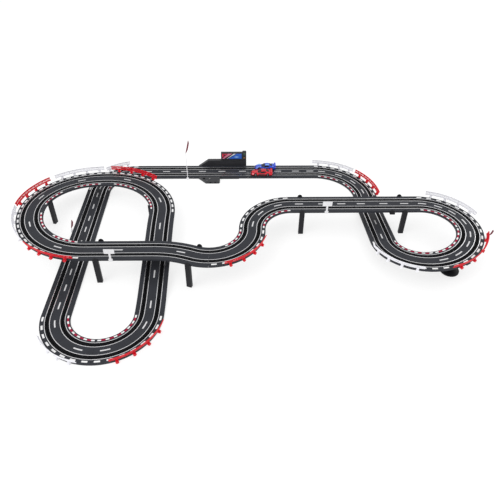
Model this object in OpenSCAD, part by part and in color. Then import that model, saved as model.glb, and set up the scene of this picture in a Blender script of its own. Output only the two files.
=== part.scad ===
// Two-lane slot car circuit with two crossovers: moulded road pieces with pressed-in
// conductor rails, supports, guard rails, signs, flags, a powered terminal and two cars.
// Millimetres. Origin: centre of the terminal straight's underside on the table.
// +X runs right along the back straight, +Y away from the front, +Z up.

/* [Road] */
// Width of the road
road_w = 115; // [100:1:130]
// Table to road surface on a piece lying flat
road_h = 9; // [8:0.5:12]
// Length of a standard straight
straight = 290; // [240:5:340]
// Centre-line radius of the tight bends
tight_r = 180; // [160:5:200]
// Centre-line radius of the big left loop
loop_r = 290; // [270:5:310]
// Centre-line radius of the back right bend
sweep_r = 240; // [220:5:260]
// Centre-line radius of the gentle offset piece
offset_r = 416; // [400:2:430]
// Lane centre from the road's centre line
lane_off = 28.75; // [27:0.25:31]
// Road surface height on the raised run
bridge_h = 124; // [118:1:130]
// Road surface height where the big loop starts
loop_h = 95; // [90:1:100]

/* [Road section] */
// Width of the guide slot
slot_w = 3.2; // [2.8:0.1:3.6]
// Depth of the guide slot
slot_d = 7; // [6:0.25:7.5]
// Conductor rail centre from its lane's centre
rail_off = 9.6; // [9:0.1:11]
// Width of a conductor rail
rail_w = 2.2; // [1.8:0.1:3.6]
// Depth of the groove that holds a rail
groove_d = 1.8; // [1.4:0.1:2.2]
// How far a rail stands above the road
rail_up = 0.4; // [0.2:0.1:0.6]
// Thickness of the road plate
plate_t = 3.2; // [2.8:0.1:4]
// Gap between neighbouring road pieces
joint_gap = 0.4; // [0.2:0.1:0.8]

/* [Accessories] */
// Height of a guard rail above the road
guard_h = 26; // [22:1:30]
// Width of a support post along the road
post_w = 22; // [16:1:24]
// Width of a sign board
sign_w = 42; // [40:1:60]

/* [Terminal] */
// Height of the housing behind the road
far_h = 40; // [32:1:46]
// Depth of the housing behind the road
far_d = 20; // [18:1:30]
// Height of the housing in front of the road
near_h = 13; // [12:0.5:16]
// Height of the display tower on the back housing
tower_h = 44; // [36:1:56]
// Radius of the power inlet's bore
inlet_r = 2.75; // [2.5:0.05:3]
// Radius of a controller jack's bore
jack_r = 1.75; // [1.6:0.05:2]

/* [Cars] */
// Wheel radius
wheel_r = 8; // [7.5:0.1:8.5]
// Width of the body
car_w = 44; // [42:0.5:46]
// Crown wheel teeth
crown_teeth = 30; // [30:1:30]
// Pinion teeth
pinion_teeth = 10; // [10:1:10]
// Gear module
gear_m = 0.45; // [0.45:0.01:0.45]

/* [Hidden] */
$fn = 48;
edge = road_w / 2;
chamfer = 0.8;
skirt_t = 2.5;
recess_d = 0.8;
trough = slot_w / 2 + 2;
climb_steps = 10;
leg_left = 265;
leg_right = 270;
rest_r = 12;
half_turn = 22.5;
bend = 45;

// The run of road pieces in driving order, each [turn (0 straight, 1 left, -1 right),
// length or centre-line radius, degrees turned].
sway_x = offset_r * sin(half_turn) + tight_r * (1 + sin(half_turn)) + tight_r;
sway_y = tight_r * (1 + cos(half_turn)) - offset_r * (1 - cos(half_turn));
under_leg = 2 * straight + leg_left - 2 * leg_right + 2 * tight_r + loop_r - sweep_r - sway_y;
filler = sway_x + straight + 2 * straight - loop_r - sweep_r - 3 * straight;

function line(size) = [0, size, 0];
function left(r, a) = [1, r, a];
function right(r, a) = [-1, r, a];
function times(n, q) = [for (k = [1:n]) q];
run = concat(
  times(2, line(straight)),
  times(2, left(tight_r, bend)),
  times(2, line(straight)),
  [line(leg_left)],
  times(4, left(tight_r, bend)),
  times(2, line(leg_right)),
  times(6, left(loop_r, bend)),
  [line(straight)],
  [right(offset_r, half_turn)],
  [left(tight_r, half_turn)],
  times(2, left(tight_r, bend)),
  times(2, right(tight_r, bend)),
  times(2, line(straight)),
  times(6, right(tight_r, bend)),
  [line(straight), line(under_leg - straight)],
  times(2, left(sweep_r, bend)),
  [line(filler), line(straight)]
);

// Climbs: [first piece, last piece, height before, height after, share eased at each end].
climbs = [
  [11, 12, road_h, loop_h, 0.2],
  [15, 16, loop_h, bridge_h, 0.2],
  [30, 35, bridge_h, road_h, 0.15]
];

// Poses are [x, y, heading]; the first piece is the terminal straight, centred on the origin.
function advance(p, q) =
  let (h = p[2], s = q[0], h2 = h + s * q[2])
    s == 0
      ? [p[0] + q[1] * cos(h), p[1] + q[1] * sin(h), h]
      : [p[0] + s * q[1] * (sin(h2) - sin(h)), p[1] + s * q[1] * (cos(h) - cos(h2)), h2];
function share(q, t) = q[0] == 0 ? [0, q[1] * t, 0] : [q[0], q[1], q[2] * t];
function span(q) = q[0] == 0 ? q[1] : q[1] * q[2] * PI / 180;
function span_sum(a, b) = a > b ? 0 : span(run[a]) + span_sum(a + 1, b);
poses = [
  for (i = 0, p = [straight / 2, 0, 180]; i < len(run); p = advance(p, run[i]), i = i + 1) p
];

function climb_of(i) = [for (c = climbs) if (i >= c[0] && i <= c[1]) c];
function climbing(i) = len(climb_of(i)) > 0;
function eased(u, e) =
  u < e ? u * u / (2 * e * (1 - e))
    : u > 1 - e ? 1 - (1 - u) * (1 - u) / (2 * e * (1 - e))
    : (u - e / 2) / (1 - e);
function level(i) =
  let (done = [for (c = climbs) if (c[1] < i) c[3]])
    len(done) > 0 ? done[len(done) - 1] : road_h;
function height(i, t) =
  !climbing(i) ? level(i)
    : let (c = climb_of(i)[0], before = span_sum(c[0], i - 1))
      c[2] + (c[3] - c[2]) * eased((before + t * span(run[i])) / span_sum(c[0], c[1]), c[4]);
function slope(i, t) = (height(i, t + 0.02) - height(i, t - 0.02)) / (0.04 * span(run[i]));
function station(i, t) =
  let (p = advance(poses[i], share(run[i], t)))
    [p[0], p[1], height(i, t), p[2]];

// Section outlines are counter-clockwise [left offset, height above the road surface].
half_top = [
  [lane_off - rail_off - rail_w / 2, 0],
  [lane_off - rail_off - rail_w / 2, -groove_d],
  [lane_off - rail_off + rail_w / 2, -groove_d],
  [lane_off - rail_off + rail_w / 2, -recess_d],
  [lane_off - slot_w / 2, -recess_d],
  [lane_off - slot_w / 2, -slot_d],
  [lane_off + slot_w / 2, -slot_d],
  [lane_off + slot_w / 2, -recess_d],
  [lane_off + rail_off - rail_w / 2, -recess_d],
  [lane_off + rail_off - rail_w / 2, -groove_d],
  [lane_off + rail_off + rail_w / 2, -groove_d],
  [lane_off + rail_off + rail_w / 2, 0],
  [edge - chamfer, 0]
];
half_under = [
  [edge, -chamfer],
  [edge, -road_h],
  [edge - skirt_t, -road_h],
  [edge - skirt_t, -plate_t],
  [lane_off + trough, -plate_t],
  [lane_off + trough, -road_h],
  [lane_off - trough, -road_h],
  [lane_off - trough, -plate_t]
];
half_section = concat(half_top, half_under);
section_n = len(half_section);
road_section = concat(
  [for (k = [section_n - 1:-1:0]) half_section[k]],
  [for (p = half_section) [-p[0], p[1]]]
);
function box_section(s0, s1, v0, v1) = [[s0, v0], [s1, v0], [s1, v1], [s0, v1]];

// Ear clipping, for the end faces of swept pieces.
function turn_of(a, b, c) = (b[0] - a[0]) * (c[1] - a[1]) - (b[1] - a[1]) * (c[0] - a[0]);
function within(p, a, b, c) =
  turn_of(a, b, p) >= 0 && turn_of(b, c, p) >= 0 && turn_of(c, a, p) >= 0;
function ear(points, ring, k) =
  let (
    n = len(ring),
    a = ring[(k + n - 1) % n],
    b = ring[k],
    c = ring[(k + 1) % n],
    others = [for (m = ring) if (m != a && m != b && m != c) points[m]]
  )
    turn_of(points[a], points[b], points[c]) > 0
    && len([for (p = others) if (within(p, points[a], points[b], points[c])) 1]) == 0;
function triangles(points, ring) =
  len(ring) == 3 ? [ring]
    : let (n = len(ring), k = [for (m = [0:n - 1]) if (ear(points, ring, m)) m][0])
      concat(
        [[ring[(k + n - 1) % n], ring[k], ring[(k + 1) % n]]],
        triangles(points, [for (m = [0:n - 1]) if (m != k) ring[m]])
      );

module swept(i, outline, from, to) {
  m = len(outline);
  steps = ceil((to - from) * climb_steps);
  stations = [for (k = [0:steps]) station(i, from + (to - from) * k / steps)];
  points = [
    for (p = stations, o = outline)
      [p[0] - o[0] * sin(p[3]), p[1] + o[0] * cos(p[3]), p[2] + o[1]]
  ];
  cap = triangles(outline, [for (j = [0:m - 1]) j]);
  sides = [
    for (k = [0:steps - 1], j = [0:m - 1])
      let (a = k * m + j, b = k * m + (j + 1) % m)
        each [[a, a + m, b + m], [a, b + m, b]]
  ];
  end = steps * m;
  polyhedron(
    points,
    concat(
      cap,
      [for (t = cap) [t[2] + end, t[1] + end, t[0] + end]],
      sides
    )
  );
}

module level_sweep(q, outline) {
  if (q[0] == 0)
    rotate([90, 0, 90]) linear_extrude(q[1]) polygon(outline);
  else if (q[0] > 0)
    translate([0, q[1], 0]) rotate([0, 0, -90]) rotate_extrude(angle = q[2], $fn = 180)
      translate([q[1], 0]) mirror([1, 0]) polygon(outline);
  else
    translate([0, -q[1], 0]) rotate([0, 0, 90 - q[2]]) rotate_extrude(angle = q[2], $fn = 180)
      translate([q[1], 0]) polygon(outline);
}

// A section carried along piece i, from one share of its length to another.
module along(i, outline, from, to) {
  if (climbing(i)) {
    swept(i, outline, from, to);
  } else {
    p = station(i, from);
    translate([p[0], p[1], p[2]]) rotate([0, 0, p[3]])
      level_sweep(share(run[i], to - from), outline);
  }
}

module whole(i, outline) {
  trim = joint_gap / 2 / span(run[i]);
  along(i, outline, trim, 1 - trim);
}

module road(first, last) {
  color("dimgray") for (i = [first:last]) whole(i, road_section);
}

module at_road(i, t, side = 0) {
  p = station(i, t);
  translate([p[0], p[1], p[2]]) rotate([0, 0, p[3]]) translate([0, side, 0]) children();
}

module terminal_straight() {
  road(0, 0);
  color("dimgray") cylinder(r = rest_r, h = road_h - plate_t);
}
module back_straight_left() road(1, 1);
module back_curve_left() road(2, 3);
module left_leg() road(4, 6);
module bottom_bend() road(7, 10);
module ramp_leg() road(11, 12);
module big_loop() road(13, 18);
module front_straight() road(19, 19);
module offset_curve() road(20, 20);
module s_curve() road(21, 25);
module bridge_straights() road(26, 27);
module right_loop() road(28, 33);
module underpass_leg() road(34, 35);
module back_curve_right() road(36, 37);
module back_straight_right() road(38, 39);

// Conductor rails lie in their grooves with a hair of play all round.
module lane_rails(side) {
  play = 0.02;
  color("silver") for (i = [0:len(run) - 1], r = [-1, 1]) {
    s = side * lane_off + r * rail_off;
    half = rail_w / 2 - play;
    whole(i, box_section(s - half, s + half, play - groove_d, rail_up));
  }
}
module left_lane_rails() lane_rails(1);
module right_lane_rails() lane_rails(-1);

// Joint locks bridge each joint underneath, one near either edge.
module joint_locks() {
  lock_l = 18;
  lock_w = 9;
  lock_t = 1.6;
  color("dimgray") for (i = [0:len(run) - 1], s = [-1, 1]) {
    before = (i + len(run) - 1) % len(run);
    tilt = climbing(i) ? atan(slope(i, 0.02)) : 0;
    slack = climbing(i) || climbing(before) ? 0.9 : 0;
    at_road(i, 0, s * (edge - 13)) rotate([0, -tilt, 0])
      translate([-lock_l / 2, -lock_w / 2, -plate_t - lock_t - slack])
        cube([lock_l, lock_w, lock_t]);
  }
}

// Supports: [piece, share, side of the post, sides with a clip]. Side 0 is a middle post on
// a round foot, and a support with no post is a plain cross brace.
no_post = 2;
supports = [
  [13, 0.27, 1, [1]],
  [16, 0.69, 1, [1]],
  [19, 0.215, -1, [-1, 1]],
  [21, 0.1, -1, [-1, 1]],
  [26, 0.165, -1, [-1, 1]],
  [27, 0.572, no_post, [-1]],
  [27, 0.772, -1, [-1, 1]],
  [31, 0.31, 0, []]
];
beam_t = 6;
clip_t = 6.5;
clip_play = 0.4;
post_d = 14;
foot_r = 40;
foot_out = -17;
function support_slack(q) = abs(slope(q[0], q[1])) * post_w * 0.6;

module edge_clip(slack) {
  hub = post_w / 2 - road_h - beam_t;
  translate([0, edge + clip_play + clip_t, 0]) rotate([90, 0, 0]) linear_extrude(clip_t) {
    translate([-post_w / 2, -road_h - beam_t - slack])
      square([post_w, road_h + beam_t + slack + hub]);
    translate([0, hub]) circle(post_w / 2);
  }
  translate([-post_w / 2, edge - 1, -road_h - beam_t - slack])
    cube([post_w, clip_play + clip_t, beam_t]);
  translate([-5, edge - 1.6, slack]) cube([10, 3, 2]);
}

module support_beams() {
  color("dimgray") for (q = supports) at_road(q[0], q[1]) {
    slack = support_slack(q);
    translate([-post_w / 2, -edge, -road_h - slack - beam_t])
      cube([post_w, road_w, beam_t]);
    for (s = q[3]) mirror([0, s > 0 ? 0 : 1, 0]) edge_clip(slack);
  }
}

module support_posts() {
  color("dimgray") for (q = supports) if (q[2] != no_post) {
    top = height(q[0], q[1]) - road_h - support_slack(q) - beam_t;
    side = q[2] == 0 ? foot_out : q[2] * edge;
    at_road(q[0], q[1], side) translate([0, 0, -height(q[0], q[1])]) {
      translate([-post_w / 2, -post_d / 2, 0]) cube([post_w, post_d, top]);
      if (q[2] == 0) {
        cylinder(r = foot_r, h = 6);
        translate([0, 0, 6]) cylinder(r1 = foot_r, r2 = post_w * 0.75, h = 12);
      }
    }
  }
}

// Guard rails: [piece, first and last degree past that piece's start].
red_guards = [
  [16, 4, 44.6], [14, 3, 44.8], [18, 2, 41], [9, 16, 78], [22, 15.5, 72.5], [30, 13, 80],
  [36, 0.5, 43.5]
];
white_guards = [
  [17, 1, 44], [15, 5.5, 44.8], [7, 29, 79], [2, 13, 44], [28, 12.5, 72.5], [30, 106, 166],
  [36, 46, 89.5]
];
bar = 3;
guard_out = 9.5;
guard_lean = 5;
guard_foot = 10;
guard_post_pitch = 4;
guard_post_w = 2;
guard_clips = 4;
knob_r = 6.5;
knob_l = 6;

// Each guard leans outwards: its lower bar stands nearer to the road than its top bar.
module guard_bar(q, out, v) {
  side = edge + out;
  s0 = run[q[0]][0] < 0 ? side : -side - bar;
  turned = run[q[0]][2];
  along(q[0], box_section(s0, s0 + bar, v, v + bar), q[1] / turned, q[2] / turned);
}
module guard_clip() {
  reach = guard_out - guard_lean + bar - 0.3;
  translate([-5, edge, -7]) cube([10, reach, 8]);
  translate([-5, edge + reach - bar + 0.6, 0]) cube([10, bar - 0.6, guard_foot + 1]);
  translate([0, edge + reach - 1, -2.5]) rotate([-90, 0, 0]) cylinder(r = knob_r, h = knob_l);
}
module guard_post() {
  low = edge + guard_out - guard_lean + 0.6;
  rise = guard_h - guard_foot - bar;
  translate([-guard_post_w / 2, 0, 0]) rotate([90, 0, 90]) linear_extrude(guard_post_w)
    polygon([
      [low, guard_foot + 1], [low + 1.8, guard_foot + 1],
      [low + guard_lean + 1.8, guard_foot + rise + 2], [low + guard_lean, guard_foot + rise + 2]
    ]);
}
module guard(q) {
  i = q[0];
  turned = run[i][2];
  flip = [0, run[i][0] < 0 ? 0 : 1, 0];
  posts = ceil((q[2] - q[1]) / guard_post_pitch);
  guard_bar(q, guard_out - guard_lean, guard_foot);
  guard_bar(q, guard_out, guard_h - bar);
  for (k = [0:posts]) {
    a = q[1] + 0.4 + (q[2] - q[1] - 0.8) * k / posts;
    at_road(i, a / turned) mirror(flip) guard_post();
  }
  for (k = [0:guard_clips - 1]) {
    a = q[1] + (q[2] - q[1]) * (k + 0.42) / guard_clips;
    at_road(i, a / turned) mirror(flip) guard_clip();
  }
}
module red_guard_rails() {
  color("crimson") for (q = red_guards) guard(q);
}
module white_guard_rails() {
  color("white") for (q = white_guards) guard(q);
}

// Signs: [piece, share]; both stand on the near edge.
signs = [[19, 0.431], [26, 0.541]];
sign_base = 33;
sign_h = 22;
sign_t = 2.4;

module sign_posts() {
  color("white") for (q = signs) at_road(q[0], q[1], -edge) {
    translate([-8, -5, -road_h]) cube([16, 5, road_h + 3]);
    translate([-4, -5, 0]) cube([8, 4, sign_base]);
  }
}
module sign_boards() {
  color("white") for (q = signs) at_road(q[0], q[1], -edge)
    translate([-sign_w / 2, -5, sign_base]) cube([sign_w, sign_t, sign_h]);
}

// Flags: [piece, share, side, height of the flag's foot, length of the flag, stand-off].
flags_at = [
  [1, 0.0966, 1, 148, 74, 4],
  [5, 0.1, -1, 14, 46, 4],
  [30, 0.34, 1, 12, 30, 16]
];
pole_r = 1.6;
flag_w = 9;
flag_t = 1.2;
flag_lean = 13;

module at_flag(q) {
  at_road(q[0], q[1], q[2] * (edge + q[5])) rotate([0, 0, -station(q[0], q[1])[3]])
    children();
}
module flag_poles() {
  color("white") for (q = flags_at) {
    at_flag(q) translate([0, 0, -road_h]) cylinder(r = pole_r, h = road_h + q[3]);
    at_road(q[0], q[1]) mirror([0, q[2] > 0 ? 0 : 1, 0])
      translate([-6, edge, -road_h]) cube([12, q[5] + 4, road_h - 1]);
  }
}
module flags() {
  color("darkred") for (q = flags_at) at_flag(q) translate([0, 0, q[3]]) rotate([0, flag_lean, 0])
    rotate([90, 0, 0]) translate([0, 0, -flag_t / 2]) linear_extrude(flag_t)
      polygon([
        [-1, 0.6], [1.5, 0], [flag_w - 2, q[4] * 0.3], [flag_w - 2, q[4] * 0.8], [1, q[4]], [-1, q[4]]
      ]);
}

// Terminal.
far_x0 = -122;
far_x1 = 137;
far_ramp = 54;
wall = 2;
far_y1 = edge + far_d;
tower_x0 = 1;
tower_x1 = 116;
tower_y0 = edge + 5;
column_h = 50;
lamp_r = 5;
lamp_z = [15.5, 39];
near_x0 = -116;
near_x1 = -3;
near_y = -104;
shelf_x1 = 97;
inlet = [-86, -75];
jack_x = [-52, -28];
jack_z = 6.2;
switch_at = [-60, -78];
switch_travel = 3.2;
knob = [5.6, 3.6];
sleeve_r = 4;
inlet_sleeve_r = 6;

module far_profile(inset) {
  polygon([
    [far_x0 + inset * 2.4, -inset],
    [far_x0 + far_ramp + inset * 0.6, far_h - inset],
    [far_x1 - inset, far_h - inset],
    [far_x1 - inset, -inset]
  ]);
}
module far_housing() {
  color("black") {
    difference() {
      translate([0, far_y1, 0]) rotate([90, 0, 0]) linear_extrude(far_d) far_profile(0);
      translate([0, far_y1 - wall, 0]) rotate([90, 0, 0]) linear_extrude(far_d - 2 * wall)
        far_profile(wall);
    }
    for (x = [-30, 90]) translate([x, edge + wall, 8]) cube([6, 3, 22]);
  }
}
module circuit_board() {
  color("green") translate([-40, edge + wall + 3, 8]) {
    cube([140, 1.6, 24]);
    for (k = [0:3]) translate([14 + 32 * k, 1.6, 6]) cube([10, 3, 8]);
    translate([60, 1.6, 16]) rotate([-90, 0, 0]) cylinder(r = 4, h = 8);
  }
}
module display_tower() {
  color("black") translate([tower_x0, tower_y0, far_h])
    cube([tower_x1 - tower_x0, far_y1 - tower_y0, tower_h]);
}
module display_panel() {
  color("royalblue") translate([tower_x0 + 4, tower_y0 - 1.6, far_h + 8])
    cube([tower_x1 - tower_x0 - 6, 1.6, tower_h - 10]);
}
module lamp_column() {
  color("black") translate([tower_x1, tower_y0 - 1, far_h])
    cube([far_x1 - tower_x1, far_y1 - tower_y0 + 1, column_h]);
}
module lamp(k) {
  translate([(tower_x1 + far_x1) / 2, tower_y0 - 1, far_h + lamp_z[k]]) rotate([90, 0, 0])
    cylinder(r = lamp_r, h = 2);
}
module green_lamp() {
  color("limegreen") lamp(1);
}
module orange_lamp() {
  color("orange") lamp(0);
}
module near_housing() {
  slant = 40;
  color("black") difference() {
    union() {
      linear_extrude(near_h)
        polygon([
          [near_x0, -edge], [near_x0 + slant, near_y], [near_x1 - 5, near_y],
          [near_x1, near_y + 6], [near_x1, -edge]
        ]);
      translate([near_x1, -edge - 4, 0]) cube([shelf_x1 - near_x1, 4, 6]);
    }
    translate([0, 0, -1]) linear_extrude(near_h - wall + 1)
      polygon([
        [near_x0 + 5, -edge - wall], [near_x0 + slant + 1, near_y + wall],
        [near_x1 - 5.5, near_y + wall], [near_x1 - wall, near_y + 7], [near_x1 - wall, -edge - wall]
      ]);
    translate([inlet[0], inlet[1], 0]) cylinder(r = inlet_sleeve_r, h = 20);
    for (x = jack_x) translate([x, near_y + 5, jack_z]) rotate([90, 0, 0]) cylinder(r = sleeve_r, h = 10);
    translate([switch_at[0] - 0.2, switch_at[1] - knob[1] / 2 - 0.2, near_h - 5])
      cube([knob[0] + switch_travel + 0.4, knob[1] + 0.4, 10]);
  }
}
module sockets() {
  color("black") {
    translate([inlet[0], inlet[1], 1]) difference() {
      cylinder(r = inlet_sleeve_r, h = near_h);
      translate([0, 0, 3]) cylinder(r = inlet_r, h = near_h);
    }
    for (x = jack_x) translate([x, near_y - 1, jack_z]) rotate([-90, 0, 0]) difference() {
      cylinder(r = sleeve_r, h = 16);
      translate([0, 0, -1]) cylinder(r = jack_r, h = 14);
    }
  }
}
module power_switch() {
  color("red") translate([switch_at[0], switch_at[1], near_h]) {
    translate([0, -knob[1] / 2, -4]) cube([knob[0], knob[1], 6.5]);
    translate([-2, -knob[1] / 2 - 1.2, -4]) cube([knob[0] + 4, knob[1] + 2.4, 1.8]);
  }
}

// Cars, noses towards -X, built about the lane's centre with z = 0 on the road.
car_x = [239, 218];
car_lane = [lane_off, -lane_off];
ride = 0.2;
axle_z = wheel_r + ride;
rear_x = 31;
front_x = -33;
pivot_x = -45;
axle_r = 1.25;
axle_end = 21;
wheel_in = 13.8;
wheel_w = 7.4;
shell_t = 1.2;
chassis_z = 3.2;
chassis_t = 1.8;
post_y = 10.5;
bearing_r = 1.3;
motor_r = 7;
motor_x0 = -7;
motor_x1 = 16.5;
pinion_r = gear_m * pinion_teeth / 2;
crown_r = gear_m * crown_teeth / 2;
pinion_x = rear_x - crown_r;
tooth_t = 0.34;
tooth_h = 0.35;
crown_face = -pinion_r - 0.45;

module at_car(n) {
  translate([car_x[n], car_lane[n], road_h]) children();
}
module side_solid(outline, w) {
  translate([0, w / 2, 0]) rotate([90, 0, 0]) linear_extrude(w) polygon(outline);
}
module hull_shape(d) {
  low = d == 0 ? 3.5 : -2;
  intersection() {
    side_solid([
      [-56 + d, low], [-57 + d, 8], [-53 + d, 13 - d / 2], [-44, 17 - d], [-30, 18.8 - d],
      [-14, 18.8 - d], [14, 19 - d], [34, 20.6 - d], [50, 20.6 - d], [56 - d, 18.5 - d / 2],
      [55 - d, low]
    ], car_w - 2 * d);
    translate([0, 0, -5]) linear_extrude(40) polygon([
      [-57 + d, -12], [-52 + d, -18 + d / 2], [-44, -car_w / 2 + d], [46, -car_w / 2 + d],
      [56 - d, -19 + d / 2], [56 - d, 19 - d / 2], [46, car_w / 2 - d], [-44, car_w / 2 - d],
      [-52 + d, 18 - d / 2], [-57 + d, 12]
    ]);
  }
}
module cabin_shape(d) {
  intersection() {
    side_solid([[-22 + 2 * d, 14], [-4 + d, 28.4 - d], [16, 29.4 - d], [40 - 2.6 * d, 14]], car_w);
    translate([-40, 0, 0]) rotate([90, 0, 90]) linear_extrude(100)
      polygon([[-20 + d, 12], [20 - d, 12], [14.5 - d, 29.6 - d], [-14.5 + d, 29.6 - d]]);
  }
}
module wheel_wells() {
  for (x = [front_x, rear_x], s = [-1, 1])
    translate([x, s * 18.5, axle_z]) rotate([90, 0, 0]) translate([0, 0, -6.2])
      cylinder(r = wheel_r + 0.8, h = 12.4);
}
module car_shell(n, paint) {
  color(paint) at_car(n) difference() {
    union() {
      hull_shape(0);
      cabin_shape(0);
      translate([48, -19, 20]) cube([7, 38, 3.4]);
    }
    hull_shape(shell_t);
    cabin_shape(shell_t);
    wheel_wells();
    side_solid([[-10.5, 20.6], [-2.5, 26.6], [9, 27], [9, 20.6]], 60);
    side_solid([[11.5, 20.6], [11.5, 27], [17, 26.8], [25, 21.6]], 60);
    translate([-30, 0, 0]) rotate([90, 0, 90]) linear_extrude(27)
      polygon([[-14.5, 20.4], [14.5, 20.4], [12, 27], [-12, 27]]);
    translate([19, 0, 0]) rotate([90, 0, 90]) linear_extrude(22)
      polygon([[-14, 21.6], [14, 21.6], [12, 26.8], [-12, 26.8]]);
  }
}
module car_glazing(n) {
  color("black") at_car(n) difference() {
    cabin_shape(shell_t);
    cabin_shape(2 * shell_t);
    translate([-60, -30, -5]) cube([120, 60, 24.2]);
    translate([20, -30, 0]) cube([60, 60, 20.4]);
  }
}
module car_chassis(n) {
  inner = car_w / 2 - shell_t;
  color("black") at_car(n) difference() {
    union() {
      translate([-50, -12, chassis_z]) cube([102, 24, chassis_t]);
      translate([-20, -inner, chassis_z]) cube([38, 2 * inner, chassis_t]);
      for (x = [front_x, rear_x], s = [-1, 1])
        translate([x - 3.5, s * post_y - 1, chassis_z]) cube([7, 2, axle_z + 3 - chassis_z]);
      translate([motor_x1, -6, chassis_z]) cube([1.5, 12, 10]);
    }
    for (x = [front_x, rear_x]) translate([x, 0, axle_z]) rotate([90, 0, 0])
      translate([0, 0, -20]) cylinder(r = bearing_r, h = 40);
    translate([motor_x0 - 0.2, -6.3, 0]) cube([motor_x1 - motor_x0 + 0.2, 12.6, 8]);
    translate([motor_x1 - 1, 0, axle_z]) rotate([0, 90, 0]) cylinder(r = 1.6, h = 4);
    translate([rear_x - 8.3, -5.4, 0]) cube([16.6, 4.4, 8]);
    translate([pivot_x, 0, 0]) cylinder(r = 2.05, h = 8);
  }
}
module car_motor(n) {
  color("silver") at_car(n) translate([motor_x0, 0, axle_z]) rotate([0, 90, 0]) difference() {
    cylinder(r = motor_r, h = motor_x1 - motor_x0);
    translate([0, 0, motor_x1 - motor_x0 - 5]) cylinder(r = 0.82, h = 8);
  }
}
module car_pinion(n) {
  color("gold") at_car(n) translate([0, 0, axle_z]) rotate([0, 90, 0]) {
    translate([0, 0, motor_x1 - 4]) cylinder(r = 0.75, h = pinion_x + 0.7 - motor_x1 + 4);
    translate([0, 0, pinion_x - 0.7]) {
      cylinder(r = pinion_r - tooth_h - 0.1, h = 1.4);
      for (k = [0:pinion_teeth - 1]) rotate([0, 0, (k + 0.5) * 360 / pinion_teeth])
        translate([0, -tooth_t / 2, 0]) cube([pinion_r + tooth_h, tooth_t, 1.4]);
    }
  }
}
module car_crown_gear(n) {
  color("white") at_car(n) translate([rear_x, crown_face, axle_z]) rotate([90, 0, 0]) difference() {
    union() {
      cylinder(r = crown_r + 0.8, h = 1.4);
      cylinder(r = 3, h = 2.6);
      for (k = [0:crown_teeth - 1]) rotate([0, 0, (k + 0.5) * 360 / crown_teeth])
        translate([crown_r - 0.8, -tooth_t / 2, -0.45 - tooth_h]) cube([1.6, tooth_t, 1.2]);
    }
    translate([0, 0, -1]) cylinder(r = axle_r + 0.01, h = 5);
  }
}
module car_axle(n, x) {
  color("silver") at_car(n) translate([x, axle_end, axle_z]) rotate([90, 0, 0])
    cylinder(r = axle_r, h = 2 * axle_end);
}
module car_wheels(n, x) {
  color("black") at_car(n) for (s = [0, 1]) mirror([0, s, 0])
    translate([x, wheel_in, axle_z]) rotate([-90, 0, 0]) difference() {
      cylinder(r = wheel_r, h = wheel_w);
      translate([0, 0, -1]) cylinder(r = axle_r + 0.01, h = wheel_w + 2);
      translate([0, 0, wheel_w - 1]) difference() {
        cylinder(r = wheel_r * 0.68, h = 2);
        cylinder(r = 2.4, h = 0.6);
      }
    }
}
module car_guide(n) {
  color("black") at_car(n) translate([pivot_x, 0, 0]) {
    translate([0, 0, 2.6]) cylinder(r = 2, h = 4.6);
    translate([-6, -11.5, 1]) cube([12, 23, 1.6]);
    translate([-7, -0.6, -slot_d + 1.4]) cube([14, 1.2, slot_d]);
  }
}
module car_brushes(n) {
  color("goldenrod") at_car(n) for (s = [-1, 1])
    translate([pivot_x - 6, s * rail_off - 1.3, 0.5]) cube([13, 2.6, 0.5]);
}
module blue_shell() car_shell(0, "royalblue");
module blue_glazing() car_glazing(0);
module blue_chassis() car_chassis(0);
module blue_motor() car_motor(0);
module blue_pinion() car_pinion(0);
module blue_crown_gear() car_crown_gear(0);
module blue_rear_axle() car_axle(0, rear_x);
module blue_rear_wheels() car_wheels(0, rear_x);
module blue_front_axle() car_axle(0, front_x);
module blue_front_wheels() car_wheels(0, front_x);
module blue_guide() car_guide(0);
module blue_brushes() car_brushes(0);
module red_shell() car_shell(1, "crimson");
module red_glazing() car_glazing(1);
module red_chassis() car_chassis(1);
module red_motor() car_motor(1);
module red_pinion() car_pinion(1);
module red_crown_gear() car_crown_gear(1);
module red_rear_axle() car_axle(1, rear_x);
module red_rear_wheels() car_wheels(1, rear_x);
module red_front_axle() car_axle(1, front_x);
module red_front_wheels() car_wheels(1, front_x);
module red_guide() car_guide(1);
module red_brushes() car_brushes(1);

terminal_straight();
back_straight_left();
back_curve_left();
left_leg();
bottom_bend();
ramp_leg();
big_loop();
front_straight();
offset_curve();
s_curve();
bridge_straights();
right_loop();
underpass_leg();
back_curve_right();
back_straight_right();
left_lane_rails();
right_lane_rails();
joint_locks();
support_beams();
support_posts();
red_guard_rails();
white_guard_rails();
sign_posts();
sign_boards();
flag_poles();
flags();
far_housing();
circuit_board();
display_tower();
display_panel();
lamp_column();
green_lamp();
orange_lamp();
near_housing();
sockets();
power_switch();
blue_shell();
blue_glazing();
blue_chassis();
blue_motor();
blue_pinion();
blue_crown_gear();
blue_rear_axle();
blue_rear_wheels();
blue_front_axle();
blue_front_wheels();
blue_guide();
blue_brushes();
red_shell();
red_glazing();
red_chassis();
red_motor();
red_pinion();
red_crown_gear();
red_rear_axle();
red_rear_wheels();
red_front_axle();
red_front_wheels();
red_guide();
red_brushes();
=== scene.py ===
"""Looks of the slot car track set: materials, road markings, car bodies, terminal details."""

import math

import bmesh
import bpy
from mathutils import Matrix, Vector


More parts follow.
